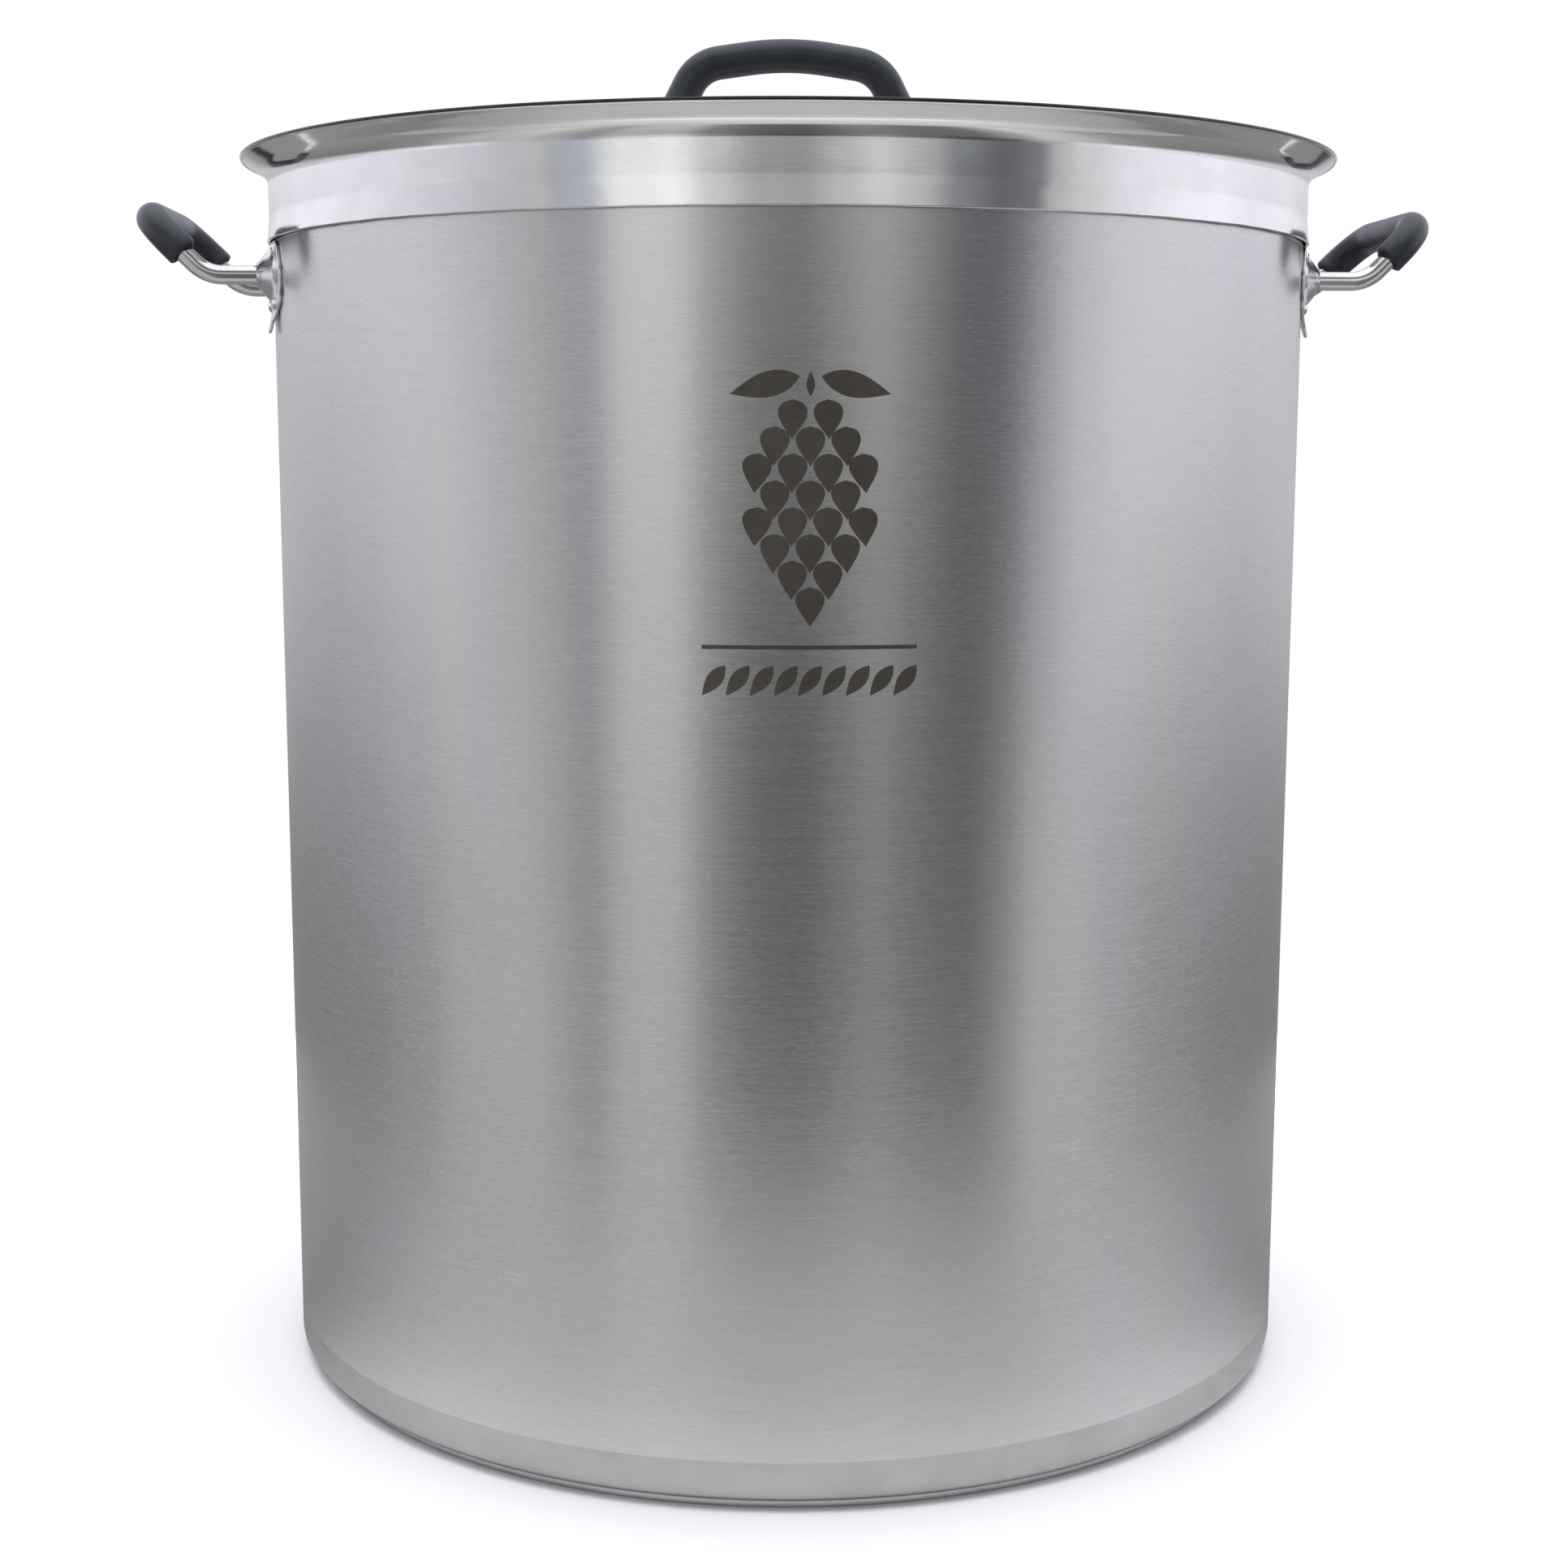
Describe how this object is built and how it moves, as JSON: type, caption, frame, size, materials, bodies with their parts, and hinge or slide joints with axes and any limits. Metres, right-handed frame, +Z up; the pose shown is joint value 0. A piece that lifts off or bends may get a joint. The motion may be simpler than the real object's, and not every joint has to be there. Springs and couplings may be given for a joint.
{
  "type": "brew kettle",
  "caption": "Tall stainless brew kettle with a clad base, polished flared rim, two gripped side handles and a lift-off lid.",
  "frame": {"origin": "centre of the base on the surface the kettle stands on", "axes": "+Z up along the kettle's axis, side handles on +X and -X, front of the kettle facing -Y"},
  "size_m": [0.5608, 0.4758, 0.5821],
  "materials": {
    "brushed_body": "fine brushed round the wall",
    "polished_rim": "polished stainless",
    "base_steel": "satin stainless",
    "aluminium_core": "plain, closed in",
    "lid_steel": "spun satin",
    "polished_rod": "polished stainless",
    "pressed_steel": "bright pressed sheet",
    "rivet_steel": "bright",
    "grip_rubber": "matte moulded silicone"
  },
  "bodies": {
    "kettle": {"kettle_body": "brushed_body", "rim_collar": "polished_rim", "base_core": "aluminium_core", "base_cap": "base_steel", "left_handle_rod": "polished_rod", "left_handle_grip": "grip_rubber", "left_front_lug": "pressed_steel", "left_front_rivets": "rivet_steel", "left_rear_lug": "pressed_steel", "left_rear_rivets": "rivet_steel", "right_handle_rod": "polished_rod", "right_handle_grip": "grip_rubber", "right_front_lug": "pressed_steel", "right_front_rivets": "rivet_steel", "right_rear_lug": "pressed_steel", "right_rear_rivets": "rivet_steel"},
    "lid": {"lid_pan": "lid_steel", "lid_handle_rod": "polished_rod", "lid_handle_grip": "grip_rubber", "lid_left_lug": "pressed_steel", "lid_left_rivets": "rivet_steel", "lid_right_lug": "pressed_steel", "lid_right_rivets": "rivet_steel"}
  },
  "joints": [
    {"name": "lid_lift", "type": "slide", "parent": "kettle", "child": "lid", "axis": [0, 0, 1], "range_m": [0, 0.45]}
  ]
}
